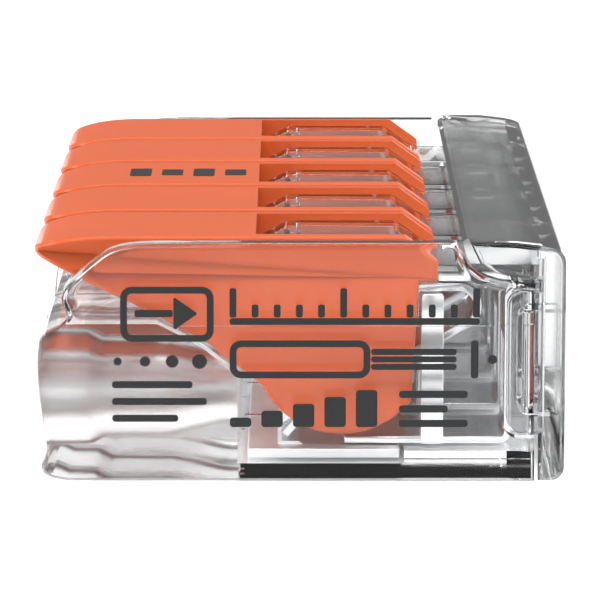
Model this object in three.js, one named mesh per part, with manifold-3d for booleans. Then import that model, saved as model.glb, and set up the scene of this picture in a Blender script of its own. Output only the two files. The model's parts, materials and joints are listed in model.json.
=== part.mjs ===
// Five-pole lever wire connector: a clear housing with five funnel entries, a clear rear cover,
// five flip-up levers, and for each pole a clamp spring held in a bent frame over one busbar.
// Millimetres, +Z up. X runs from the wire entries (-X) to the rear cover (+X), Y along the row
// of poles. The origin is the middle of the underside.

import * as THREE from 'three';
import { mergeVertices } from 'three/addons/utils/BufferGeometryUtils.js';
import Module from 'manifold-3d';

const wasm = await Module();
wasm.setup();

// Driving dimensions
const POLES = 5;
const PITCH = 5.6; // centre to centre of neighbouring poles
const HALF_LENGTH = 15; // half of the housing, end face to end face
const END_WALL = 1; // thickness of the two end walls
const PARTITION = 0.32; // thickness of the walls between poles
const FLOOR_TOP = 0.5; // under the busbar
const REAR_FLOOR_TOP = 0.95; // under the holding frames
const FLOOR_STEP_X = 3.7;
const FRONT_X = -9.1; // face of the wire entries
const REAR_X = 9.3; // outer face of the rear cover
const TOP_Z = 8.5;

// Wire entry: rings of the funnel as [x, radius] about an axis at FUNNEL_Z
const FUNNEL_Z = 2.93;
const FUNNEL = [
  [-9.6, 2.3], [-9, 2.2], [-8.6, 2.12], [-7.45, 2.1], [-6.75, 1.82], [-4.6, 1.8], [-2.6, 1.3],
  [-1.5, 1.28],
];
const FUNNEL_STEPS = 32;
const THROAT_X = -2.15; // where the funnel's end face looks at the clamp
const THROAT_HALF = 1.9; // the throat stands between the lever's two plates

// Lever
const PIVOT = [1.5, 4.6];
const BEARING_R = 3.1; // round foot of the lever's plates
const LEVER_HALF = 2.55;
const PLATE_INNER = 2.1; // inner face of each plate
const WEB_UNDER = 7.3; // underside of the bridge between the plates
const WEB_CLEAR_R = 4.55; // the bridge's rear lip stays outside this radius from the pivot
const WEB_END = -1.505;
const TIP_ROUND = 1.3;

// Spring
const LOOP = [5.6, 5.9]; // centre of the spring's rear loop, hinge of the clamping leg
const LOOP_R = 0.7; // to the middle of the strip
const STRIP = 0.3;
const SPRING_HALF = 1.7;
const LEG_END = [-0.5, 1.3];
const LUG = [-0.4, 3.25]; // lug that the lever's recess lifts

// Busbar and holding frames
const BUSBAR = { front: -1.8, rear: 3.55, half: 13.6, bottom: 0.58, top: 0.95 };
const FRAME = { front: 1.6, rear: 7.5, foot: 1, roof: 7.06, half: 1.75, thick: 0.25 };

// Colours and surface of each material
const CLEAR = { color: 0xd9dde0, roughness: 0.08, metalness: 0, transparent: true, opacity: 0.35 };
const ORANGE = { color: 0xe4652f, roughness: 0.4, metalness: 0 };
const SPRING_STEEL = { color: 0xb4b7ba, roughness: 0.3, metalness: 1 };
const FRAME_STEEL = { color: 0x9c9ea1, roughness: 0.35, metalness: 1 };
const TINNED_COPPER = { color: 0xd2d4d6, roughness: 0.25, metalness: 1 };

const POLE_CENTRES = Array.from({ length: POLES }, (_, i) => (i - (POLES - 1) / 2) * PITCH);
const WALL_CENTRES = Array.from({ length: POLES - 1 }, (_, i) => (i + 1 - POLES / 2) * PITCH);

// A closed geometry as a solid that can be joined and cut
function solid(geometry) {
  const bare = geometry.clone();
  bare.deleteAttribute('normal');
  bare.deleteAttribute('uv');
  const merged = mergeVertices(bare, 1e-5);
  return new wasm.Manifold(new wasm.Mesh({
    numProp: 3,
    vertProperties: new Float32Array(merged.attributes.position.array),
    triVerts: new Uint32Array(merged.index.array),
  }));
}

// The union of several solids
function join(solids) {
  return solids.reduce((whole, piece) => whole.add(piece));
}

function cut(body, tools) {
  return tools.reduce((rest, tool) => rest.subtract(tool), body);
}

// An outline in the X-Z plane, extruded along Y
function slab(points, yFrom, yTo) {
  const shape = new THREE.Shape(points.map(([x, z]) => new THREE.Vector2(x, z)));
  const geometry = new THREE.ExtrudeGeometry(shape, { depth: yTo - yFrom, bevelEnabled: false });
  return solid(geometry.rotateX(Math.PI / 2).translate(0, yTo, 0));
}

// An outline in the X-Y plane, extruded along Z
function plan(points, zFrom, zTo) {
  const shape = new THREE.Shape(points.map(([x, y]) => new THREE.Vector2(x, y)));
  const geometry = new THREE.ExtrudeGeometry(shape, { depth: zTo - zFrom, bevelEnabled: false });
  return solid(geometry.translate(0, 0, zFrom));
}

function block([x0, x1], [y0, y1], [z0, z1]) {
  const geometry = new THREE.BoxGeometry(x1 - x0, y1 - y0, z1 - z0);
  return solid(geometry.translate((x0 + x1) / 2, (y0 + y1) / 2, (z0 + z1) / 2));
}

// Points of an arc about [cx, cz], from one angle to another in degrees
function arc([cx, cz], radius, from, to, steps) {
  return Array.from({ length: steps + 1 }, (_, i) => {
    const angle = THREE.MathUtils.degToRad(from + ((to - from) * i) / steps);
    return [cx + radius * Math.cos(angle), cz + radius * Math.sin(angle)];
  });
}

// A strip of even thickness along a path of X-Z points
function strip(path, thickness, yFrom, yTo) {
  const side = (sign) => path.map(([x, z], i) => {
    const [ax, az] = path[Math.max(i - 1, 0)];
    const [bx, bz] = path[Math.min(i + 1, path.length - 1)];
    const reach = ((thickness / 2) * sign) / Math.hypot(bx - ax, bz - az);
    return [x - (bz - az) * reach, z + (bx - ax) * reach];
  });
  return slab([...side(1), ...side(-1).reverse()], yFrom, yTo);
}

function mesh(name, body, finish) {
  const data = body.getMesh();
  const geometry = new THREE.BufferGeometry();
  geometry.setAttribute('position', new THREE.BufferAttribute(data.vertProperties, 3));
  geometry.setIndex(new THREE.BufferAttribute(data.triVerts, 1));
  geometry.computeVertexNormals();
  const piece = new THREE.Mesh(geometry, new THREE.MeshStandardMaterial(finish));
  piece.name = name;
  return piece;
}

// Housing

// Round entry that narrows to the throat, centred on one pole
function funnelBore(y) {
  const radii = FUNNEL.map(([x, r]) => new THREE.Vector2(r, x));
  const first = new THREE.Vector2(0, FUNNEL[0][0]);
  const last = new THREE.Vector2(0, FUNNEL[FUNNEL.length - 1][0]);
  const lathe = new THREE.LatheGeometry([first, ...radii, last], FUNNEL_STEPS);
  return solid(lathe.rotateZ(-Math.PI / 2).translate(0, y, FUNNEL_Z));
}

// Leaning front face shared by the front block and the end walls, from the foot upwards
const FRONT_FACE = [
  [-8.1, 0], [-8.6, 0.1], [-8.95, 0.32], [-9.02, 0.55], [-8.9, 1.15], [-9.0, 2.25],
  [-9.08, 3.3], [FRONT_X, 4.3], [-9.05, 4.95],
];

function frontBlock() {
  // The top follows the underside of the closed levers
  const top = [[-8.85, 5.4], [-8.5, 5.5], [-4.95, 5.5], [-4, 5], [-3.25, 4.55], [-2.55, 3.98]];
  const profile = [...FRONT_FACE, ...top, [THROAT_X, 3.65], [THROAT_X, 0]];
  return slab(profile.reverse(), -HALF_LENGTH, HALF_LENGTH);
}

// The throat's upper part reaches up between the two plates of the lever
function throat(y) {
  const profile = [[-5, 4], [THROAT_X, 3], [THROAT_X, 4.5], [-3, 4.75], [-4.6, 5.2], [-5, 5.2]];
  return slab(profile, y - THROAT_HALF, y + THROAT_HALF);
}

function endWall(side) {
  const nose = [
    [-8.8, 5.4], [-8.3, 5.62], [-8.05, 5.9], [-8.22, 6.3], [-8.22, 6.7], [-8.02, 7.1],
    [-7.7, 7.36], [-7.2, 7.78], [-6.6, 8.15], [-5.9, 8.33], [-4.9, 8.4],
  ];
  const underWing = [[5.55, 8.4], [5.7, 8.1], [5.95, 7.7], [6.4, 7.35], [7, 7.15], [8.25, 7]];
  const profile = [...FRONT_FACE, ...nose, ...underWing, [8.25, 0]];
  const outer = side * HALF_LENGTH;
  const inner = side * (HALF_LENGTH - END_WALL);
  return slab(profile.reverse(), Math.min(outer, inner), Math.max(outer, inner));
}

function partition(y) {
  const profile = [
    [-5, 0.2], [8.25, 0.2], [8.25, 7.1], [5.4, 7.4], [-7.6, 7.4], [-8.55, 7], [-8.7, 6.5],
    [-8.8, 5.9], [-8.85, 5.2], [-5, 5.2],
  ];
  return slab(profile, y - PARTITION / 2, y + PARTITION / 2);
}

// Bar over the pole's window, with a deeper rib at its front end; the lever's two plates turn on
// either side of it
function windowBar(y) {
  const profile = [
    [-1.3, 6.7], [-0.05, 6.7], [-0.05, 7.6], [3.9, 7.4], [4.5, 7.1], [8.25, 7.1], [8.25, 7.45],
    [4.7, 7.45], [4.2, 7.75], [3.3, 8.4], [-0.7, 8.4], [-1.3, 8.02],
  ];
  return slab(profile, y - 1.95, y + 1.95);
}

// Recess in the outer face of an end wall, with the nose that holds the cover's loop
function latchRecess(side) {
  const face = side * HALF_LENGTH;
  const depth = side * (HALF_LENGTH - 0.55);
  const y = [Math.min(face, depth) - (side < 0 ? 1 : 0), Math.max(face, depth) + (side > 0 ? 1 : 0)];
  return block([7.1, 8.6], y, [1.55, 6.95]);
}

function latchNose(side) {
  const root = side * (HALF_LENGTH - 0.6);
  const tip = side * (HALF_LENGTH - 0.05);
  const ramp = side * (HALF_LENGTH - 0.3);
  const outline = [[7.8, root], [8.2, root], [8.2, ramp], [8.05, tip], [7.8, tip]];
  return plan(side > 0 ? outline : outline.reverse(), 2.6, 6.05);
}

function housing() {
  const floor = slab(
    [[-5, 0], [8.25, 0], [8.25, REAR_FLOOR_TOP], [FLOOR_STEP_X, REAR_FLOOR_TOP],
      [FLOOR_STEP_X, FLOOR_TOP], [-5, FLOOR_TOP]],
    -HALF_LENGTH, HALF_LENGTH,
  );
  const rearBar = block([7.75, 8.25], [-HALF_LENGTH + 0.5, HALF_LENGTH - 0.5], [6.6, 7.1]);
  const plain = join([
    floor, frontBlock(), rearBar,
    ...POLE_CENTRES.map(throat),
    ...POLE_CENTRES.map(windowBar),
    ...WALL_CENTRES.map(partition),
    endWall(-1), endWall(1),
  ]);
  const busbarSlot = block(
    [BUSBAR.front - 0.15, BUSBAR.rear + 0.15],
    [-BUSBAR.half - 0.15, BUSBAR.half + 0.15],
    [FLOOR_TOP, BUSBAR.top + 0.1],
  );
  const opened = cut(plain, [
    ...POLE_CENTRES.map(funnelBore), busbarSlot, latchRecess(-1), latchRecess(1),
  ]);
  return join([opened, latchNose(-1), latchNose(1)]);
}

// Rear cover

function coverShell() {
  const outside = [
    [8.37, 0], [8.8, 0], ...arc([8.8, 0.5], 0.5, -90, 0, 4), [REAR_X, 7.75],
    [9.24, 8], [9.05, 8.22], [7.5, TOP_Z - 0.02], [5.85, TOP_Z - 0.02], [5.72, 8.38],
    [5.72, 7.75], [5.9, 7.6], [8.37, 7.6],
  ];
  return slab(outside, -HALF_LENGTH + 1.1, HALF_LENGTH - 1.1);
}

// Side of the cover: a wing over the end wall, and the loop that latches over its nose
function coverSide(side) {
  const wing = [
    [8.37, 0], [8.8, 0], ...arc([8.8, 0.5], 0.5, -90, 0, 4), [REAR_X, 7.75],
    [9.24, 8], [9.05, 8.22], [7.5, TOP_Z - 0.02], [5.96, TOP_Z - 0.02], [6.05, 8.1],
    [6.3, 7.75], [6.7, 7.5], [7.1, 7.34], [8.37, 7.14],
  ];
  const outer = side * HALF_LENGTH;
  const inner = side * (HALF_LENGTH - 1.15);
  const loopRoot = side * (HALF_LENGTH - 0.45);
  const across = (a, b) => [Math.min(a, b), Math.max(a, b)];
  const loop = block([7.25, 8.5], across(outer, loopRoot), [1.7, 6.8]);
  const window = block([7.63, 8.37], across(side * (HALF_LENGTH + 1), side * 13), [2.35, 6.3]);
  return slab(wing, ...across(outer, inner)).add(loop).subtract(window);
}

// Inner ribs that press on the holding frames when the cover is on
function coverRib(y) {
  return block([7.65, 8.6], [y - 1.2, y + 1.2], [2.2, 5.6]);
}

function rearCover() {
  return join([coverShell(), coverSide(-1), coverSide(1), ...POLE_CENTRES.map(coverRib)]);
}

// Levers

// Side outline of a lever's plate, from the rear lip forwards and round the bearing foot
const LEVER_TOP = [[3.65, 8.5], [-6.5, 8.5], [-7.2, 8.47], [-8.2, 8.38], [-9, 8.2]];
const LEVER_TIP = [[-9.26, 8.02], [-9.3, 7.86], [-9.18, 7.71]];
const PLATE_UNDER = [
  [-7.87, 7.12], [-5.96, 6.23], [-4.56, 5.51], [-3.93, 5.16], [-3.19, 4.76], [-2.46, 4.15],
];
const PLATE_REAR = [[4.21, 3], [4.21, 6.94], [4.84, 6.94], [4.84, 7.46]];

// Groove that lifts the spring's lug, in the inner face of both plates
function lugGroove(side) {
  const inside = arc(PIVOT, 2.02, 256, 204, 10);
  const outside = arc(PIVOT, 2.94, 204, 256, 10);
  const y = side * PLATE_INNER;
  const depth = side * (PLATE_INNER + 0.22);
  const edge = y - side * 0.2;
  return slab([...inside, ...outside], Math.min(edge, depth), Math.max(edge, depth));
}

function lever() {
  const foot = arc(PIVOT, BEARING_R, 204, 322, 24);
  const side = [...LEVER_TOP, ...LEVER_TIP, ...PLATE_UNDER, ...foot, ...PLATE_REAR];
  const lip = arc(PIVOT, WEB_CLEAR_R, 144.2, 131.4, 5);
  const web = [
    [WEB_END, TOP_Z], ...LEVER_TOP.slice(1), ...LEVER_TIP, [-8.29, WEB_UNDER], ...lip,
  ];
  const round = (cy, from, to) => arc([-9.3 + TIP_ROUND, cy], TIP_ROUND, from, to, 6);
  const corners = [
    [5, -LEVER_HALF], [5, LEVER_HALF],
    ...round(LEVER_HALF - TIP_ROUND, 90, 180),
    ...round(TIP_ROUND - LEVER_HALF, 180, 270),
  ];
  const plain = join([
    slab(side, -LEVER_HALF, -PLATE_INNER),
    slab(side, PLATE_INNER, LEVER_HALF),
    slab(web, -LEVER_HALF, LEVER_HALF),
  ]).intersect(plan(corners, 0, 10));
  return cut(plain, [lugGroove(-1), lugGroove(1)]);
}

// Springs

// Where the clamping leg leaves the loop, as an angle about the loop's centre
function legTangent() {
  const dx = LEG_END[0] - LOOP[0];
  const dz = LEG_END[1] - LOOP[1];
  const toEnd = THREE.MathUtils.radToDeg(Math.atan2(dz, dx)) + 360;
  return toEnd + THREE.MathUtils.radToDeg(Math.acos(LOOP_R / Math.hypot(dx, dz)));
}

function springBow() {
  const bend = arc(LOOP, LOOP_R, legTangent() + 18, 450, 12);
  const upperLeg = [[4.4, 6.58], [2.6, 6.32], [2.35, 6.12]];
  return strip([...bend, ...upperLeg], STRIP, -SPRING_HALF, SPRING_HALF);
}

function clampLeg() {
  const root = arc(LOOP, LOOP_R, legTangent() + 8, legTangent(), 2);
  const tongue = strip([...root, [0.4, 2.32], LEG_END], STRIP, -SPRING_HALF, SPRING_HALF);
  const fin = [[-0.62, 1.7], [0.3, 2.3], [0.1, 3.5], [-0.6, 3.5]];
  const peg = arc(LUG, 0.24, 0, 315, 7);
  const lugs = [-1, 1].flatMap((side) => {
    const across = (a, b) => [Math.min(side * a, side * b), Math.max(side * a, side * b)];
    return [
      slab(fin, ...across(SPRING_HALF - STRIP, SPRING_HALF)),
      slab(peg, ...across(SPRING_HALF - STRIP, PLATE_INNER + 0.12)),
    ];
  });
  return join([tongue, ...lugs]);
}

// Contacts

function busbar() {
  const { front, rear, half, bottom, top } = BUSBAR;
  const bar = block([front, rear], [-half, half], [bottom, top]);
  const contactRidge = (y) => slab(
    [[-0.9, top - 0.1], [0.3, top - 0.1], [0, top + 0.1], [-0.6, top + 0.1]], y - 1.6, y + 1.6,
  );
  return join([bar, ...POLE_CENTRES.map(contactRidge)]);
}

// C-shaped strip: its foot lies on the busbar, its hook holds the spring from above and two
// cheeks stand up beside the spring
function holdingFrame() {
  const { front, rear, foot, roof, half, thick } = FRAME;
  const profile = [
    [front, foot], [rear, foot], [rear, roof], [4.9, roof], [4.9, roof - thick],
    [rear - thick, roof - thick], [rear - thick, foot + thick], [front, foot + thick],
  ];
  const wireWindow = block([7, 8], [-1.1, 1.1], [1.9, 4.6]);
  const cheek = (side) => {
    const [near, far] = [half, half + 0.23].map((y) => side * y).sort((a, b) => a - b);
    return block([4.3, 5.1], [near, far], [foot, 6.4]);
  };
  return join([slab(profile, -half, half).subtract(wireWindow), cheek(-1), cheek(1)]);
}

const group = new THREE.Group();
group.add(mesh('housing', housing(), CLEAR));
group.add(mesh('rear_cover', rearCover(), CLEAR));
group.add(mesh('busbar', busbar(), TINNED_COPPER));

POLE_CENTRES.forEach((y, i) => {
  const pole = new THREE.Group();
  pole.position.y = y;
  pole.add(mesh(`lever_${i + 1}`, lever(), ORANGE));
  pole.add(mesh(`spring_bow_${i + 1}`, springBow(), SPRING_STEEL));
  pole.add(mesh(`clamp_leg_${i + 1}`, clampLeg(), SPRING_STEEL));
  pole.add(mesh(`holding_frame_${i + 1}`, holdingFrame(), FRAME_STEEL));
  group.add(pole);
});

export default group;
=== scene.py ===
"""A five-pole lever wire connector: clear housing and cover, orange levers, springs and busbar.

Outlines are in millimetres in the part's own frame: X from the wire entries to the rear, Y along
the row of poles, Z up from the underside. MM turns them into metres.
"""
import json
import math

import bmesh
import bpy
from mathutils import Matrix, Vector


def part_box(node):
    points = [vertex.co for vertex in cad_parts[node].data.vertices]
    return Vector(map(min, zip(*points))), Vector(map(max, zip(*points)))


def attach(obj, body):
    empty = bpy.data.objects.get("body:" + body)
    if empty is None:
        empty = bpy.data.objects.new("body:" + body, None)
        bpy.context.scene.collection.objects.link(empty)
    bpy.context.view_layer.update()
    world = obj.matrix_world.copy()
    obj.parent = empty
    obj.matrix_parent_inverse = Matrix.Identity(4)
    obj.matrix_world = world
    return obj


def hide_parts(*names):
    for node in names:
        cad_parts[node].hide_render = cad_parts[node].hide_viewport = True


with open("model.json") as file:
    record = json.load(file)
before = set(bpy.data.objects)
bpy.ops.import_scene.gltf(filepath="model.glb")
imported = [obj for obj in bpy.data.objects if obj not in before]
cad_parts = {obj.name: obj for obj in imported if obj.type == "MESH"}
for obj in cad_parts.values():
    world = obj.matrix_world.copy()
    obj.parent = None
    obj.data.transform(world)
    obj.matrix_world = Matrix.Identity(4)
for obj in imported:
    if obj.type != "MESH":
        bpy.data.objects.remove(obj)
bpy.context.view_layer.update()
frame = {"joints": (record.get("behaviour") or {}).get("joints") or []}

MM = 0.001

# Sizes taken from the frame
POLES = {joint["child"]: joint["pos_m"] for joint in frame["joints"]
         if joint["child"].startswith("lever")}
POLE_Y = sorted(place[1] / MM for place in POLES.values())
PITCH = POLE_Y[1] - POLE_Y[0]
WALL_Y = [y + PITCH / 2 for y in POLE_Y[:-1]]
PIVOT = (POLES["lever_1"][0] / MM, POLES["lever_1"][2] / MM)
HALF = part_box("housing")[1].y / MM
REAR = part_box("rear_cover")[1].x / MM
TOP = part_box("lever_1")[1].z / MM
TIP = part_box("lever_1")[0].x / MM

# Walls of the housing
CORE = HALF - 0.5              # half the length of the solids that end inside the end walls
END_WALL = 1.0
CROWN = {-1: 8.49, 1: 8.38}    # top of the end wall on either side
LEDGE = 0.12
OVERLAP = 0.02                 # how far a joined solid reaches into its neighbour
PARTITION = 0.32
FLOOR_TOP = 0.5
REAR_FLOOR_TOP = 0.95
REAR_END = 8.25
SLOT_END = 3.7                 # rear end of the slot for the busbar
OUTER_RIM, INNER_RIM = 0.14, 0.5
FUNNEL_Z = 2.93
BORE_RADIUS = 2.25
BORE_END = -2.0

# Meshes
WELD = 0.0005                  # points closer than this become one
FLAT = 0.3                     # degrees under which two faces become one
CREASE = 30                    # degrees over which an edge stays sharp


# ---------------------------------------------------------------- outlines

def arc(centre, radius, start, end, steps):
    """Points of an arc, its angles in degrees."""
    points = []
    for step in range(steps + 1):
        angle = math.radians(start + (end - start) * step / steps)
        points.append((centre[0] + radius * math.cos(angle), centre[1] + radius * math.sin(angle)))
    return points


def filleted(corners, steps=6):
    """An outline whose corners are (a, b) or (a, b, radius), each with a radius rounded off."""
    points = []
    for index, corner in enumerate(corners):
        here = Vector(corner[:2])
        radius = corner[2] if len(corner) > 2 else 0
        if not radius:
            points.append(tuple(here))
            continue
        back = (Vector(corners[index - 1][:2]) - here).normalized()
        ahead = (Vector(corners[(index + 1) % len(corners)][:2]) - here).normalized()
        half = back.angle(ahead) / 2
        centre = here + (back + ahead).normalized() * radius / math.sin(half)
        first = here + back * radius / math.tan(half) - centre
        last = here + ahead * radius / math.tan(half) - centre
        for step in range(steps + 1):
            spoke = first.slerp(last, step / steps).normalized() * radius
            points.append(tuple(centre + spoke))
    return points


def rounded(a0, a1, b0, b1, radius):
    """Outline of a rectangle with rounded corners."""
    return filleted([(a0, b0, radius), (a1, b0, radius), (a1, b1, radius), (a0, b1, radius)])


def smooth(points, steps=4):
    """A soft curve through the points, from the first to the last."""
    curve = []
    for index in range(len(points) - 1):
        p0 = Vector(points[max(index - 1, 0)])
        p1, p2 = Vector(points[index]), Vector(points[index + 1])
        p3 = Vector(points[min(index + 2, len(points) - 1)])
        for step in range(steps):
            t = step / steps
            curve.append(tuple(0.5 * (
                2 * p1 + (p2 - p0) * t + (2 * p0 - 5 * p1 + 4 * p2 - p3) * t ** 2
                + (3 * p1 - p0 - 3 * p2 + p3) * t ** 3)))
    return curve + [tuple(points[-1])]


def area(outline):
    """Area inside the outline, positive when it runs anticlockwise."""
    pairs = zip(outline, outline[1:] + outline[:1])
    return sum(a[0] * b[1] - b[0] * a[1] for a, b in pairs) / 2


SHARPEST = 0.35    # keeps a tight corner from shooting out when its outline is inset


def inset(outline, distance):
    """The outline moved inwards by distance, corner by corner."""
    turn = 1 if area(outline) > 0 else -1
    moved = []
    for index, corner in enumerate(outline):
        here = Vector(corner)
        back = (here - Vector(outline[index - 1])).normalized()
        ahead = (Vector(outline[(index + 1) % len(outline)]) - here).normalized()
        normals = [Vector((-d.y, d.x)) * turn for d in (back, ahead)]
        middle = (normals[0] + normals[1]).normalized()
        moved.append(tuple(here + middle * distance / max(middle.dot(normals[0]), SHARPEST)))
    return moved


def strip(path, thickness):
    """The outline of a strip of even thickness along a path."""
    sides = ([], [])
    for index, here in enumerate(path):
        before, after = path[max(index - 1, 0)], path[min(index + 1, len(path) - 1)]
        along = (Vector(after) - Vector(before)).normalized()
        across = Vector((-along.y, along.x)) * thickness / 2
        sides[0].append(tuple(Vector(here) + across))
        sides[1].append(tuple(Vector(here) - across))
    return sides[0] + sides[1][::-1]


# ---------------------------------------------------------------- solids

PLACE = {
    "x": lambda a, b, level: (level, a, b),
    "y": lambda a, b, level: (a, level, b),
    "z": lambda a, b, level: (a, b, level),
}


def made(name, rings):
    """A closed mesh object from a stack of rings of points, capped at both ends."""
    shape = bmesh.new()
    loops = [[shape.verts.new(point) for point in ring] for ring in rings]
    shape.faces.new(loops[0])
    shape.faces.new(loops[-1][::-1])
    count = len(loops[0])
    for low, high in zip(loops, loops[1:]):
        for index in range(count):
            after = (index + 1) % count
            shape.faces.new((low[index], high[index], high[after], low[after]))
    bmesh.ops.recalc_face_normals(shape, faces=shape.faces)
    data = bpy.data.meshes.new(name)
    shape.to_mesh(data)
    shape.free()
    piece = bpy.data.objects.new(name, data)
    bpy.context.scene.collection.objects.link(piece)
    return piece


def slab(outline, low, high, axis="y", rims=(0, 0), steps=4, name="slab"):
    """An outline extruded from low to high along an axis, with a rounded rim at either end."""
    levels = []
    for level, rim, inwards in ((low, rims[0], 1), (high, rims[1], -1)):
        end = [(0, level)]
        if rim:
            turns = [math.pi / 2 * step / steps for step in range(steps + 1)]
            end = [(rim * (1 - math.sin(turn)), level + inwards * rim * (1 - math.cos(turn)))
                   for turn in turns]
        levels += end if inwards == 1 else end[::-1]
    rings = []
    for distance, level in levels:
        ring = inset(outline, distance) if distance else outline
        rings.append([PLACE[axis](a, b, level) for a, b in ring])
    return made(name, rings)


def block(x, y, z, radius=0, axis="y", rims=(0, 0)):
    """A box between pairs of X, Y and Z, with its four corners across the axis rounded."""
    spans = {"x": (y, z, x), "y": (x, z, y), "z": (x, y, z)}[axis]
    (a0, a1), (b0, b1), (low, high) = spans
    return slab(rounded(a0, a1, b0, b1, radius), low, high, axis, rims)


def turned(rings, y, z, segments=72):
    """A solid of revolution about a line along X, from (x, radius) rings."""
    circle = [(math.cos(math.tau * k / segments), math.sin(math.tau * k / segments))
              for k in range(segments)]
    return made("turned", [[(x, y + r * c, z + r * s) for c, s in circle] for x, r in rings])


def settle(piece):
    """Applies the piece's modifiers to its mesh."""
    bpy.context.view_layer.update()
    depsgraph = bpy.context.evaluated_depsgraph_get()
    done = bpy.data.meshes.new_from_object(piece.evaluated_get(depsgraph))
    piece.modifiers.clear()
    piece.data = done


def combine(piece, tools, operation):
    """Joins the tools to the piece or cuts them from it, and removes them."""
    for tool in tools:
        step = piece.modifiers.new(operation.lower(), "BOOLEAN")
        step.operation = operation
        step.solver = "MANIFOLD"
        step.object = tool
    settle(piece)
    for tool in tools:
        bpy.data.objects.remove(tool)
    return piece


def join(first, *others):
    return combine(first, others, "UNION")


def cut(piece, *tools):
    return combine(piece, tools, "DIFFERENCE")


def finished(piece, name, material, body, node=None):
    """Turns millimetres into metres, shades the piece and puts it in the frame."""
    piece.name = name
    data = piece.data
    data.name = name
    clean = bmesh.new()
    clean.from_mesh(data)
    bmesh.ops.remove_doubles(clean, verts=clean.verts, dist=WELD)
    bmesh.ops.dissolve_degenerate(clean, edges=clean.edges, dist=WELD)
    bmesh.ops.dissolve_limit(clean, angle_limit=math.radians(FLAT), verts=clean.verts,
                             edges=clean.edges)
    clean.to_mesh(data)
    clean.free()
    for corner in data.vertices:
        corner.co *= MM
    data.polygons.foreach_set("use_smooth", [True] * len(data.polygons))
    data.set_sharp_from_angle(angle=math.radians(CREASE))
    flat = piece.modifiers.new("flat faces stay flat", "WEIGHTED_NORMAL")
    flat.keep_sharp = True
    flat.weight = 80
    settle(piece)
    piece.data.materials.clear()
    piece.data.materials.append(material)
    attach(piece, body)
    if node:
        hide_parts(node)
    return piece


# ---------------------------------------------------------------- materials

FLOW_MARKS = 260         # cells per metre
TARNISH_CLOUDS = 700     # cells per metre
RELIEF = 0.5
POLYCARBONATE_IOR = 1.58
GLARE = (0.4, 0.4, 0.4, 1)             # tames the reflections, so the levers show their colour
LAMP_LEFT = (0.94, 0.945, 0.95, 1)     # lamp light left after one face of the clear plastic
MOULDING_IOR = 1.5


def group(name, inputs):
    """An empty node group with inputs (name, default) that gives a roughness, height and tone."""
    tree = bpy.data.node_groups.new(name, "ShaderNodeTree")
    for label, default in inputs:
        socket = tree.interface.new_socket(label, in_out="INPUT", socket_type="NodeSocketFloat")
        socket.default_value = default
    for label in ("Roughness", "Height", "Tone"):
        tree.interface.new_socket(label, in_out="OUTPUT", socket_type="NodeSocketFloat")
    return tree, tree.nodes.new("NodeGroupInput"), tree.nodes.new("NodeGroupOutput")


def value_node(tree, operation, first, second):
    """A Math node; each input is a socket or a number."""
    node = tree.nodes.new("ShaderNodeMath")
    node.operation = operation
    for index, source in enumerate((first, second)):
        if isinstance(source, bpy.types.NodeSocket):
            tree.links.new(source, node.inputs[index])
        else:
            node.inputs[index].default_value = source
    return node.outputs[0]


def noise(tree, coordinates, scale, detail=2, stretch=(1, 1, 1)):
    """Noise over the piece; scale is in cells per metre and stretch squeezes it along an axis."""
    mapping = tree.nodes.new("ShaderNodeMapping")
    mapping.inputs["Scale"].default_value = stretch
    tree.links.new(coordinates, mapping.inputs["Vector"])
    node = tree.nodes.new("ShaderNodeTexNoise")
    node.inputs["Detail"].default_value = detail
    tree.links.new(mapping.outputs[0], node.inputs["Vector"])
    if isinstance(scale, bpy.types.NodeSocket):
        tree.links.new(scale, node.inputs["Scale"])
    else:
        node.inputs["Scale"].default_value = scale
    return node.outputs["Fac"]


def surface_outputs(tree, given, result, height, tone):
    """Ends a surface group: its tone also makes the roughness uneven."""
    swing = value_node(tree, "SUBTRACT", tone, 0.5)
    spread = value_node(tree, "MULTIPLY", swing, given.outputs["Unevenness"])
    rough = value_node(tree, "ADD", given.outputs["Roughness"], spread)
    tree.links.new(rough, result.inputs["Roughness"])
    tree.links.new(height, result.inputs["Height"])
    tree.links.new(tone, result.inputs["Tone"])
    return tree


def moulded_surface():
    """Spark-eroded mould texture with faint flow marks: a roughness, a height and a tone."""
    tree, given, result = group("moulded surface", [("Roughness", 0.4), ("Grain", 9000),
                                                    ("Unevenness", 0.1)])
    place = tree.nodes.new("ShaderNodeTexCoord").outputs["Object"]
    grain = noise(tree, place, given.outputs["Grain"], detail=3)
    flow = noise(tree, place, FLOW_MARKS, detail=2, stretch=(0.5, 1, 1))
    return surface_outputs(tree, given, result, grain, flow)


def rolled_surface():
    """Fine lines left by rolling and stamping metal strip: a roughness, a height and a tone."""
    tree, given, result = group("rolled surface", [("Roughness", 0.25), ("Streaks", 6000),
                                                   ("Unevenness", 0.15)])
    place = tree.nodes.new("ShaderNodeTexCoord").outputs["Object"]
    streaks = noise(tree, place, given.outputs["Streaks"], detail=3, stretch=(0.04, 1, 0.04))
    clouds = noise(tree, place, TARNISH_CLOUDS, detail=3)
    return surface_outputs(tree, given, result, streaks, clouds)


def material(name):
    """A new material with its node tree and its main shader."""
    made_material = bpy.data.materials.new(name)
    made_material.use_nodes = True
    tree = made_material.node_tree
    return made_material, tree, tree.nodes["Principled BSDF"]


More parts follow.
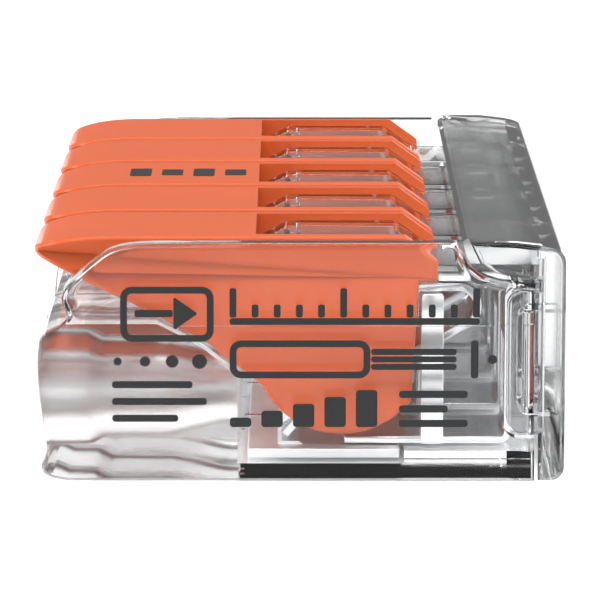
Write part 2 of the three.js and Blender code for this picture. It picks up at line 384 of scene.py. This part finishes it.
def dressed(tree, shader, surface, light, dark, values, bump):
    """Feeds a surface group to the shader: two colours mixed by its tone, roughness and bump."""
    effect = tree.nodes.new("ShaderNodeGroup")
    effect.node_tree = surface
    for label, number in values.items():
        effect.inputs[label].default_value = number
    tint = tree.nodes.new("ShaderNodeMix")
    tint.data_type = "RGBA"
    tint.inputs["A"].default_value = (*dark, 1)
    tint.inputs["B"].default_value = (*light, 1)
    tree.links.new(effect.outputs["Tone"], tint.inputs["Factor"])
    tree.links.new(tint.outputs["Result"], shader.inputs["Base Color"])
    tree.links.new(effect.outputs["Roughness"], shader.inputs["Roughness"])
    relief = tree.nodes.new("ShaderNodeBump")
    relief.inputs["Distance"].default_value = bump * MM
    relief.inputs["Strength"].default_value = RELIEF
    tree.links.new(effect.outputs["Height"], relief.inputs["Height"])
    tree.links.new(relief.outputs["Normal"], shader.inputs["Normal"])


def bore_texture(tree):
    """Mask for the eroded surface of the wire entries: 1 inside the funnels, 0 elsewhere."""
    place = tree.nodes.new("ShaderNodeTexCoord").outputs["Object"]
    split = tree.nodes.new("ShaderNodeSeparateXYZ")
    tree.links.new(place, split.inputs[0])
    poles_each_side = len(POLE_Y) / 2
    across = value_node(tree, "ADD", split.outputs["Y"], PITCH * poles_each_side * MM)
    across = value_node(tree, "FLOORED_MODULO", across, PITCH * MM)
    across = value_node(tree, "SUBTRACT", across, PITCH / 2 * MM)
    up = value_node(tree, "SUBTRACT", split.outputs["Z"], FUNNEL_Z * MM)
    square = value_node(tree, "ADD", value_node(tree, "MULTIPLY", across, across),
                        value_node(tree, "MULTIPLY", up, up))
    inside = value_node(tree, "LESS_THAN", square, (BORE_RADIUS * MM) ** 2)
    ahead = value_node(tree, "LESS_THAN", split.outputs["X"], BORE_END * MM)
    return value_node(tree, "MULTIPLY", inside, ahead)


def clear_plastic(name, surface, light, dark, roughness, bore_roughness=0):
    """Polycarbonate: real refraction, and lamps reach through it to what is inside."""
    made_material, tree, shader = material(name)
    shader.inputs["Metallic"].default_value = 0
    shader.inputs["Transmission Weight"].default_value = 1
    shader.inputs["IOR"].default_value = POLYCARBONATE_IOR
    shader.inputs["Specular Tint"].default_value = GLARE
    dressed(tree, shader, surface, light, dark,
            {"Roughness": roughness, "Grain": 1500, "Unevenness": 0.02}, 0.0008)
    if bore_roughness:
        eroded = value_node(tree, "MULTIPLY", bore_texture(tree), bore_roughness)
        polished = shader.inputs["Roughness"].links[0].from_socket
        tree.links.new(value_node(tree, "ADD", polished, eroded), shader.inputs["Roughness"])
    path = tree.nodes.new("ShaderNodeLightPath")
    lamp = tree.nodes.new("ShaderNodeBsdfTransparent")
    lamp.inputs["Color"].default_value = LAMP_LEFT
    mix = tree.nodes.new("ShaderNodeMixShader")
    tree.links.new(path.outputs["Is Shadow Ray"], mix.inputs["Fac"])
    tree.links.new(shader.outputs["BSDF"], mix.inputs[1])
    tree.links.new(lamp.outputs["BSDF"], mix.inputs[2])
    tree.links.new(mix.outputs["Shader"], tree.nodes["Material Output"].inputs["Surface"])
    return made_material


def orange_plastic(surface):
    """Opaque orange moulding with a satin surface and a little depth under it."""
    made_material, tree, shader = material("orange moulding")
    shader.inputs["IOR"].default_value = MOULDING_IOR
    shader.inputs["Specular IOR Level"].default_value = 0.3
    shader.inputs["Subsurface Weight"].default_value = 0.12
    shader.inputs["Subsurface Radius"].default_value = (1, 0.35, 0.15)
    shader.inputs["Subsurface Scale"].default_value = 0.4 * MM
    dressed(tree, shader, surface, (0.585, 0.1, 0.024), (0.55, 0.09, 0.021),
            {"Roughness": 0.38, "Grain": 14000, "Unevenness": 0.08}, 0.004)
    return made_material


def metal(name, surface, light, dark, roughness, bump):
    """Bare metal with the surface of rolled strip."""
    made_material, tree, shader = material(name)
    shader.inputs["Metallic"].default_value = 1
    dressed(tree, shader, surface, light, dark, {"Roughness": roughness}, bump)
    return made_material


def printing_ink(surface):
    """Dull near-black ink."""
    made_material, tree, shader = material("printing ink")
    shader.inputs["Specular IOR Level"].default_value = 0.1
    dressed(tree, shader, surface, (0.034, 0.035, 0.036), (0.026, 0.027, 0.028),
            {"Roughness": 0.5, "Grain": 12000, "Unevenness": 0.2}, 0.003)
    return made_material


# ---------------------------------------------------------------- housing

FRONT_FACE = smooth([(-8.6, 0.1), (-8.93, 0.3), (-9.0, 0.55), (-8.84, 0.95), (-8.82, 1.35),
                     (-8.94, 2.25), (-9.06, 3.3), (-9.1, 4.3), (-9.04, 4.95)])

FUNNEL = [(-9.6, 2.75), (-9.25, 2.4), (-9.0, 2.24), (-8.7, 2.14), (-8.3, 2.11), (-7.45, 2.1),
          (-7.3, 2.08), (-6.9, 1.86), (-6.7, 1.82), (-4.8, 1.8), (-4.4, 1.75), (-2.8, 1.33),
          (-2.5, 1.28), (-1.5, 1.28)]


def front_block():
    """The mass of the row of wire entries, before its bores are cut."""
    top = [(-8.8, 5.38), (-8.4, 5.5), (-4.95, 5.5, 0.2), (-4, 5), (-3.25, 4.55), (-2.55, 3.98)]
    outline = [(-8.1, 0)] + FRONT_FACE + filleted(top, 3)[:-1] + [(-2.15, 3.65), (-2.15, 0)]
    return slab(outline, -CORE, CORE)


def throat(y):
    """Roof of one wire entry where it narrows."""
    outline = filleted([(-5, 4), (-2.15, 3), (-2.15, 4.5, 0.2), (-3, 4.75), (-4.6, 5.2, 0.2),
                        (-5, 5.2)])
    return slab(outline, y - 1.9, y + 1.9, rims=(0.12, 0.12))


def end_wall(side):
    """Wall at one end of the row, with rounded rims and a ledge along its inner face."""
    crown = CROWN[side]
    nose = smooth([(-8.8, 5.38), (-8.3, 5.62), (-8.07, 5.9), (-8.22, 6.3), (-8.22, 6.7),
                   (-8.02, 7.1), (-7.7, 7.38), (-7.2, 7.8), (-6.6, crown - 0.26),
                   (-5.9, crown - 0.06), (-4.9, crown)])
    under_wing = [(5.5, crown)] + smooth([(5.97, 7.68), (6.4, 7.35), (7, 7.15)]) + [(REAR_END, 7)]
    outline = ([(-8.1, 0)] + FRONT_FACE[:-3] + [(-8.99, 5.08)] + nose + under_wing
               + [(REAR_END, 0)])
    outer, inner = side * HALF, side * (HALF - END_WALL)
    rims = (OUTER_RIM, INNER_RIM) if side < 0 else (INNER_RIM, OUTER_RIM)
    wall = slab(outline, *sorted((outer, inner)), rims=rims)
    ledge_outline = [(-8.7, 0.1), (8.1, 0.1), (8.1, 5.42), (-8.6, 5.42)]
    deep = side * (HALF - END_WALL - LEDGE)
    ledge = slab(ledge_outline, *sorted((inner, deep)))
    ledge.location.y = side * OVERLAP
    return [wall, ledge]


def partition(y):
    """Thin wall between two poles."""
    front = [(-8.85, 5.2), (-8.8, 5.9), (-8.7, 6.5), (-8.5, 7.05), (-7.9, 7.4)]
    rear = [(-5, 0.2), (REAR_END, 0.2), (REAR_END, 7.1), (5.4, 7.4)]
    outline = rear + smooth(front)[::-1] + [(-5, 5.2)]
    return slab(outline, y - PARTITION / 2, y + PARTITION / 2, rims=(0.05, 0.05), steps=2)


def window_bar(y):
    """Boat-shaped bar in the gap between a lever's plates, with a grip block at its front."""
    outline = filleted([
        (-1.3, 6.7, 0.15), (-0.05, 6.7), (-0.05, 7.6, 0.1), (3.9, 7.4), (4.5, 7.1, 0.2),
        (REAR_END, 7.1), (REAR_END, 7.45), (4.75, 7.45), (4.3, 7.7, 0.2), (3.5, 8.28, 0.3),
        (-0.4, 8.28, 0.5), (-1.3, 7.8, 0.15)])
    return slab(outline, y - 2.0, y + 2.0, rims=(0.06, 0.06), steps=2)


def latch_recess(side):
    """Pocket in an end wall that takes the cover's loop."""
    deep, beyond = side * (HALF - 0.55), side * (HALF + 1)
    outline = filleted([(7.1, 1.55, 0.6), (9, 1.55), (9, 6.95), (7.1, 6.95, 0.6)])
    return slab(outline, *sorted((deep, beyond)))


def latch_nose(side):
    """Ramped catch inside the loop of the cover."""
    root, tip, ramp = (side * (HALF - step) for step in (0.6, 0.05, 0.3))
    outline = [(7.8, root), (8.2, root), (8.2, ramp), (8.05, tip), (7.8, tip)]
    return slab(outline, 2.6, 6.05, axis="z", rims=(0.08, 0.08))


def housing(finish):
    """The clear moulding that holds everything else."""
    floor = slab([(-5, 0), (REAR_END, 0), (REAR_END, REAR_FLOOR_TOP), (SLOT_END, REAR_FLOOR_TOP),
                  (SLOT_END, FLOOR_TOP), (-5, FLOOR_TOP)], -CORE, CORE)
    shell = join(
        floor, front_block(), block((7.75, REAR_END), (-CORE, CORE), (6.6, 7.1), 0.12),
        *[throat(y) for y in POLE_Y], *[window_bar(y) for y in POLE_Y],
        *[partition(y) for y in WALL_Y], *end_wall(-1), *end_wall(1))
    busbar_slot = block((-1.95, SLOT_END), (-HALF + 1.25, HALF - 1.25), (FLOOR_TOP, 1.05))
    bores = [turned(FUNNEL, y, FUNNEL_Z) for y in POLE_Y]
    wall_grooves = []
    for side in (-1, 1):
        depth = sorted((side * (HALF - 1.05), side * (HALF - 0.86)))
        wall_grooves.append(block((4.87, 4.99), depth, (5.6, 8.6)))
    cut(shell, busbar_slot, *bores, *wall_grooves, latch_recess(-1), latch_recess(1))
    join(shell, latch_nose(-1), latch_nose(1))
    return finished(shell, "clear_housing", finish, "housing", "housing")


# ---------------------------------------------------------------- rear cover

COVER_BACK = [(8.37, 0), (8.8, 0)] + arc((8.8, 0.5), 0.5, -90, 0, 8)[1:] + smooth(
    [(REAR, 7.6), (9.28, 7.85), (9.2, 8.06), (9.02, 8.22), (8.5, 8.36), (7.5, 8.48)])


def cover_shell():
    """Rear wall and roof strip of the cover."""
    outline = COVER_BACK + [(6.1, 8.48), (5.85, 8.48), (5.72, 8.36), (5.72, 7.75), (5.9, 7.6),
                            (8.37, 7.6)]
    return slab(outline, -HALF + 0.9, HALF - 0.9)


def cover_side(side):
    """Wing over the end wall with the loop that latches over its nose, and the loop's window."""
    wing_edge = [(5.95, 8.48)] + smooth([(6.3, 7.75), (6.7, 7.5), (7.1, 7.34), (8.37, 7.14)])
    outer, inner = side * HALF, side * (HALF - 1.15)
    rims = (0.18, 0) if side < 0 else (0, 0.18)
    wing = slab(COVER_BACK + wing_edge, *sorted((outer, inner)), rims=rims)
    loop_outline = filleted([(7.25, 1.7, 0.55), (8.6, 1.7), (8.6, 6.8), (7.25, 6.8, 0.55)])
    root = side * (HALF - 0.45)
    rims = (0.1, 0.05) if side < 0 else (0.05, 0.1)
    loop = slab(loop_outline, *sorted((outer, root)), rims=rims)
    window_outline = filleted([(7.63, 2.35, 0.4), (9.0, 2.35), (9.0, 6.3), (7.63, 6.3, 0.4)])
    beyond, behind = side * (HALF + 1), side * (HALF - 0.7)
    window = slab(window_outline, *sorted((beyond, behind)))
    return join(wing, loop), window


def cover_rib(y):
    """Guide wall inside the cover behind one pole, hooked over at its top."""
    outline = filleted([(7.65, 2.2, 0.2), (8.6, 2.2), (8.6, 5.6), (7.65, 5.6, 0.3)])
    return slab(outline, y - 1.2, y + 1.2, rims=(0.1, 0.1))


def rear_cover(finish):
    """The clear cover latched on behind the poles."""
    sides = [cover_side(side) for side in (-1, 1)]
    shell = join(cover_shell(), *[wing for wing, _ in sides], *[cover_rib(y) for y in POLE_Y])
    grooves = [block((8.2, 8.82), (y - 0.35, y + 0.35), (0.9, 7.2), 0.12, axis="z") for y in WALL_Y]
    lip_line = block((5.94, 6.0), (-HALF + 0.8, HALF - 0.8), (8.42, 8.6))
    cut(shell, lip_line, *grooves, *[window for _, window in sides])
    return finished(shell, "clear_rear_cover", finish, "housing", "rear_cover")


# ---------------------------------------------------------------- levers

LEVER_HALF = 2.55
PLATE_INNER = 2.1
BRIDGE_UNDER = 7.3
BRIDGE_END = -1.505
BRIDGE_CLEAR = 4.55
TIP_ROUND = 1.3
FOOT_R = 3.1
GROOVE_R = (2.02, 2.94)


def lever_outline():
    """Side view of a closed lever: flat top, drooping tip, belly, round foot and heel."""
    top = [(3.72, TOP), (-6.5, TOP)]
    for step in range(1, 14):
        reach = 2.5 * step / 13
        top.append((-6.5 - reach, TOP - 0.33 * (reach / 2.6) ** 2.2))
    tip = smooth([(-9.0, 8.2), (-9.2, 8.07), (TIP, 7.9), (-9.27, 7.78), (-9.16, 7.7),
                  (-8.9, 7.58)])[1:]
    under = [(-9.16 + 1.29 * k / 8, 7.7 - 0.585 * k / 8) for k in range(3, 9)]
    belly = smooth([(-5.96, 6.23), (-4.56, 5.51), (-3.93, 5.16), (-3.19, 4.76), (-2.46, 4.15),
                    (-1.36, 3.34)])
    foot = arc(PIVOT, FOOT_R, 206, 322, 40)
    rear = filleted([(4.21, 3), (4.21, 6.94, 0.05), (4.86, 6.94, 0.12), (4.86, 7.68, 0.15),
                     top[0]], 3)[1:-1]
    return top + tip + under + belly[:-1] + foot + rear


def pinched(piece, round_from, radius):
    """Rounds the plan of the lever's tip by drawing its sides in towards the middle."""
    for corner in piece.data.vertices:
        beyond = min(max(round_from - corner.co.x, 0), radius * 0.999)
        half = LEVER_HALF - radius + math.sqrt(radius ** 2 - beyond ** 2)
        corner.co.y *= half / LEVER_HALF


def lever(number, y, finish):
    """One lever: a bridge on two side plates, grooved inside for the lugs of the clamp leg."""
    body = slab(lever_outline(), -LEVER_HALF, LEVER_HALF, rims=(0.13, 0.13))
    pinched(body, TIP + TIP_ROUND, TIP_ROUND)
    lip = arc(PIVOT, BRIDGE_CLEAR, 144.2, 131.4, 8)
    channel = [(-8.1, 0), (-8.1, BRIDGE_UNDER - 0.4), (-7.9, BRIDGE_UNDER - 0.1),
               (-7.6, BRIDGE_UNDER)] + lip
    channel += [(BRIDGE_END, 8.1), (BRIDGE_END, 9.5), (7, 9.5), (7, 0)]
    hollow = slab(channel, -PLATE_INNER, PLATE_INNER)
    grooves = []
    for side in (-1, 1):
        ends = sorted((side * (PLATE_INNER - 0.2), side * (PLATE_INNER + 0.22)))
        outline = arc(PIVOT, GROOVE_R[0], 256, 204, 20) + arc(PIVOT, GROOVE_R[1], 204, 256, 20)
        grooves.append(slab(outline, *ends))
    cut(body, hollow, *grooves)
    body.data.transform(Matrix.Translation((0, y, 0)))
    name = f"lever_{number}"
    return finished(body, f"orange_{name}", finish, name, name)


# ---------------------------------------------------------------- springs and contacts

LOOP = (5.6, 5.9)
LOOP_R = 0.7
STRIP = 0.3
LEG_END = (-0.5, 1.3)
STRIP_HALF = 1.7
STRIP_RIMS = (0.05, 0.05)


def leg_tangent():
    """Angle at which the clamping leg leaves the spring's loop."""
    reach = Vector(LEG_END) - Vector(LOOP)
    heading = math.degrees(math.atan2(reach.y, reach.x))
    return heading + 360 + math.degrees(math.acos(LOOP_R / reach.length))


def spring_bow(number, y, finish):
    """The part of a clamp spring that stays still: its rear loop and upper leg."""
    bend = arc(LOOP, LOOP_R, leg_tangent() + 18, 450, 28)
    path = bend + [(4.4, 6.58), (2.6, 6.32), (2.35, 6.12)]
    piece = slab(strip(path, STRIP), y - STRIP_HALF, y + STRIP_HALF, rims=STRIP_RIMS, steps=2)
    name = f"spring_bow_{number}"
    return finished(piece, f"steel_{name}", finish, "housing", name)


def clamp_leg(number, y, finish):
    """The lower leg of a clamp spring, with the two lugs that its lever lifts."""
    root = arc(LOOP, LOOP_R, leg_tangent() + 8, leg_tangent(), 4)
    path = root + [(0.7, 2.52), (0.4, 2.32), (0.2, 2.1), LEG_END]
    tongue = slab(strip(path, STRIP), y - STRIP_HALF, y + STRIP_HALF, rims=STRIP_RIMS, steps=2)
    fin = filleted([(-0.62, 1.7), (0.3, 2.3), (0.1, 3.5, 0.2), (-0.6, 3.5, 0.2)])
    lugs = []
    for side in (-1, 1):
        lugs.append(slab(fin, *sorted((y + side * 1.4, y + side * 1.69))))
        peg = arc((-0.4, 3.25), 0.24, 0, 345, 23)
        lugs.append(slab(peg, *sorted((y + side * 1.4, y + side * (PLATE_INNER + 0.12)))))
    join(tongue, *lugs)
    name = f"clamp_leg_{number}"
    return finished(tongue, f"steel_{name}", finish, name, name)


def busbar(finish):
    """One tinned strip under all the poles, with a ridge in each."""
    end = [(-13.6, 0.95, 0.04), (-13.35, 0.58), (13.35, 0.58), (13.6, 0.95, 0.04)]
    bar = slab(filleted(end), -1.8, 3.55, axis="x", rims=(0.05, 0.05))
    ridge = [(-0.9, 0.85), (0.3, 0.85), (0, 1.05), (-0.6, 1.05)]
    join(bar, *[slab(ridge, y - 1.6, y + 1.6) for y in POLE_Y])
    return finished(bar, "tinned_busbar", finish, "housing", "busbar")


def holding_frame(number, y, finish):
    """Bent strip with two cheeks that hangs a spring over the busbar."""
    path = filleted([(1.6, 1.125), (7.375, 1.125, 0.3), (7.375, 6.935, 0.3), (4.9, 6.935)], 8)
    frame_strip = slab(strip(path, 0.25), y - 1.75, y + 1.75, rims=STRIP_RIMS, steps=2)
    cut(frame_strip, block((7, 8), (y - 1.1, y + 1.1), (1.9, 4.6), 0.2, axis="x"))
    cheeks = [block((4.3, 5.1), sorted((y + side * 1.7, y + side * 1.98)), (1.02, 6.4), 0.1,
                    rims=(0.04, 0.04)) for side in (-1, 1)]
    join(frame_strip, *cheeks)
    name = f"holding_frame_{number}"
    return finished(frame_strip, f"steel_{name}", finish, "housing", name)


# ---------------------------------------------------------------- printed marks

PRINT_FACE = -HALF
INK = 0.012
LIFT = 0.001    # keeps the print off the face it lies on


def side_mark(outline):
    """A thin print on the near end wall."""
    return slab(outline, PRINT_FACE - INK, PRINT_FACE - LIFT)


def bar_mark(x0, x1, z0, z1, radius=0.1):
    """A printed bar between two X and two Z."""
    return side_mark(rounded(x0, x1, z0, z1, radius))


def joined(pieces):
    """Several separate solids as one object."""
    first = pieces[0]
    whole = bmesh.new()
    for piece in pieces:
        whole.from_mesh(piece.data)
    for piece in pieces[1:]:
        bpy.data.objects.remove(piece)
    whole.to_mesh(first.data)
    whole.free()
    return first


def loop_mark(x0, x1, z0, z1, width):
    """Rounded rectangle drawn as a line."""
    outer = rounded(x0, x1, z0, z1, 0.4)
    ring = side_mark(outer)
    hole = slab(inset(outer, width), PRINT_FACE - 1, PRINT_FACE + 1)
    return cut(ring, hole)


def dot_mark(x, z, radius):
    """A printed dot."""
    return side_mark(arc((x, z), radius, 0, 350, 35))


def strip_gauge():
    """Ruler along the end wall for the length of wire to bare."""
    marks = [bar_mark(-2.4, 6.3, 5.6, 5.84)]
    for tick in range(12):
        x = -2.4 + tick * 8.46 / 11
        height = 1.3 if tick in (0, 5, 11) else 0.72
        marks.append(bar_mark(x, x + 0.24, 5.86, 5.6 + height, 0.08))
    return marks


def bared_wire():
    """A wire with its insulation, its bared end and a stop line."""
    return [loop_mark(-2.4, 2.5, 3.7, 5.05, 0.24), bar_mark(2.52, 5.5, 4.0, 4.22),
            bar_mark(2.52, 5.5, 4.27, 4.48), bar_mark(2.52, 5.5, 4.53, 4.75),
            bar_mark(6.0, 6.26, 3.7, 5.05), dot_mark(6.75, 4.37, 0.16)]


def wire_sizes():
    """Bars of growing height for thin to thick wire."""
    marks = []
    for size in range(5):
        x = -2.4 + size * 1.1
        marks.append(bar_mark(x, x + 0.75, 1.96, 2.3 + size * 0.245, 0.12))
    return marks + [bar_mark(3.5, 5.9, 1.96, 2.22), bar_mark(3.5, 5.2, 2.48, 2.74),
                    bar_mark(3.5, 5.9, 3.0, 3.26)]


def insert_arrow():
    """Framed arrow that shows which way the wire goes in."""
    head = side_mark(filleted([(-4.35, 5.4, 0.05), (-3.5, 6.0, 0.05), (-4.35, 6.6, 0.05)]))
    return [loop_mark(-6.2, -2.95, 5.0, 6.95, 0.24), bar_mark(-5.7, -4.37, 5.87, 6.13, 0.08), head]


def dot_row():
    """Dots of growing size over three lines."""
    marks = [dot_mark(-6.3 + step * 0.95, 4.3, 0.14 + step * 0.04) for step in range(4)]
    return marks + [bar_mark(-6.5, -4.2, 2.15, 2.4), bar_mark(-6.5, -3.2, 2.75, 3.0),
                    bar_mark(-6.5, -3.7, 3.35, 3.6)]


def printed_marks(finish):
    """Everything printed on the end wall, as one thin piece."""
    marks = strip_gauge() + bared_wire() + wire_sizes() + insert_arrow() + dot_row()
    return finished(joined(marks), "printed_marks", finish, "housing")


def lever_mark(number, y, finish):
    """Plain bars on the top of one lever, every other one longer."""
    bars = []
    for x0, x1, reach in ((-6.4, -5.6, 0.85), (-5.2, -4.4, 0.65), (-4.0, -3.2, 0.85),
                          (-2.8, -2.0, 0.65)):
        outline = rounded(x0, x1, y - reach, y + reach, 0.12)
        bars.append(slab(outline, TOP + LIFT, TOP + INK, axis="z"))
    body = f"lever_{number}"
    return finished(joined(bars), "printed_lever_mark", finish, body)


# ---------------------------------------------------------------- studio

FLOOR_REACH = 900
FLOOR_GAP = 0.04    # a sliver of air under the part, which keeps its underside clear


def studio():
    """Pale floor under the part."""
    reach = FLOOR_REACH
    floor = slab([(-reach, -reach), (reach, -reach), (reach, reach), (-reach, reach)], -5,
                 -FLOOR_GAP, axis="z", name="floor")
    for corner in floor.data.vertices:
        corner.co *= MM
    paper, _, shader = material("white paper")
    shader.inputs["Base Color"].default_value = (0.93, 0.93, 0.93, 1)
    shader.inputs["Roughness"].default_value = 0.9
    floor.data.materials.append(paper)


def softbox(name, place, aim_height, size, watts):
    """Rectangular lamp aimed at a point above the middle of the underside."""
    lamp = bpy.data.lights.new(name, "AREA")
    lamp.shape = "RECTANGLE"
    lamp.size, lamp.size_y = size[0] * MM, size[1] * MM
    lamp.energy = watts
    holder = bpy.data.objects.new(name, lamp)
    bpy.context.scene.collection.objects.link(holder)
    holder.location = Vector(place) * MM
    aim = (Vector((0, 0, aim_height)) - Vector(place)).normalized()
    holder.rotation_euler = aim.to_track_quat("-Z", "Y").to_euler()


SIDE_LIGHT, TOP_LIGHT = 0.32, 0.52


def surroundings():
    """White light from all round, brighter from above than from the sides."""
    world = bpy.data.worlds.new("studio")
    bpy.context.scene.world = world
    world.use_nodes = True
    tree = world.node_tree
    background = tree.nodes["Background"]
    direction = tree.nodes.new("ShaderNodeTexCoord").outputs["Generated"]
    split = tree.nodes.new("ShaderNodeSeparateXYZ")
    tree.links.new(direction, split.inputs[0])
    height = tree.nodes.new("ShaderNodeMapRange")
    height.interpolation_type = "SMOOTHSTEP"
    for label, number in (("From Min", 0.22), ("From Max", 0.75),
                          ("To Min", SIDE_LIGHT), ("To Max", TOP_LIGHT)):
        height.inputs[label].default_value = number
    tree.links.new(split.outputs["Z"], height.inputs["Value"])
    tree.links.new(height.outputs[0], background.inputs["Strength"])
    background.inputs["Color"].default_value = (1, 1, 1, 1)


SENSOR = 36
FOCAL_LENGTH = 256.03
EYE = (0.049, -160.392, 34.858)
LOOKS_DOWN = 11.0445    # degrees


def camera():
    """Long lens in front of the printed end wall, a little above it."""
    lens = bpy.data.cameras.new("camera")
    lens.sensor_width = SENSOR
    lens.lens = FOCAL_LENGTH
    lens.clip_start, lens.clip_end = 0.01, 5
    holder = bpy.data.objects.new("camera", lens)
    bpy.context.scene.collection.objects.link(holder)
    holder.location = Vector(EYE) * MM
    holder.rotation_euler = (math.radians(90 - LOOKS_DOWN), 0, 0)
    bpy.context.scene.camera = holder


camera()
surroundings()
studio()
softbox("overhead", (0, 10, 320), 0, (220, 170), 0.52)
softbox("front", (0, -270, 230), 0, (320, 160), 0.7)
softbox("left", (-260, -60, 110), 5, (60, 180), 0.5)
softbox("back left", (-130, 230, 50), 5, (90, 80), 0.12)
softbox("back right", (130, 230, 50), 5, (90, 80), 0.12)
softbox("right", (260, -40, 110), 5, (60, 180), 0.25)
bpy.context.scene.view_settings.view_transform = "Standard"

mould, rolling = moulded_surface(), rolled_surface()
CLEAR = clear_plastic("clear polycarbonate", mould, (0.985, 0.988, 0.99), (0.965, 0.968, 0.97),
                      0.02, 0.22)
# The cover is the same clear polycarbonate as the housing, tinted darker here: a painted shade that
# greys its wings and roof.
SHADED_COVER_CLEAR = clear_plastic("shaded clear cover polycarbonate", mould, (0.76, 0.765, 0.77),
                            (0.71, 0.715, 0.72), 0.055)
ORANGE = orange_plastic(mould)
INK_BLACK = printing_ink(mould)
SPRING = metal("spring steel", rolling, (0.72, 0.72, 0.73), (0.62, 0.62, 0.63), 0.22, 0.002)
STEEL = metal("frame steel", rolling, (0.9, 0.9, 0.91), (0.8, 0.8, 0.81), 0.24, 0.002)
TIN = metal("tin plating", rolling, (0.88, 0.88, 0.88), (0.8, 0.8, 0.81), 0.42, 0.0015)

housing(CLEAR)
rear_cover(SHADED_COVER_CLEAR)
busbar(TIN)
for number, y in enumerate(POLE_Y, 1):
    lever(number, y, ORANGE)
    spring_bow(number, y, SPRING)
    clamp_leg(number, y, SPRING)
    holding_frame(number, y, STEEL)
printed_marks(INK_BLACK)
lever_mark(3, POLE_Y[2], INK_BLACK)
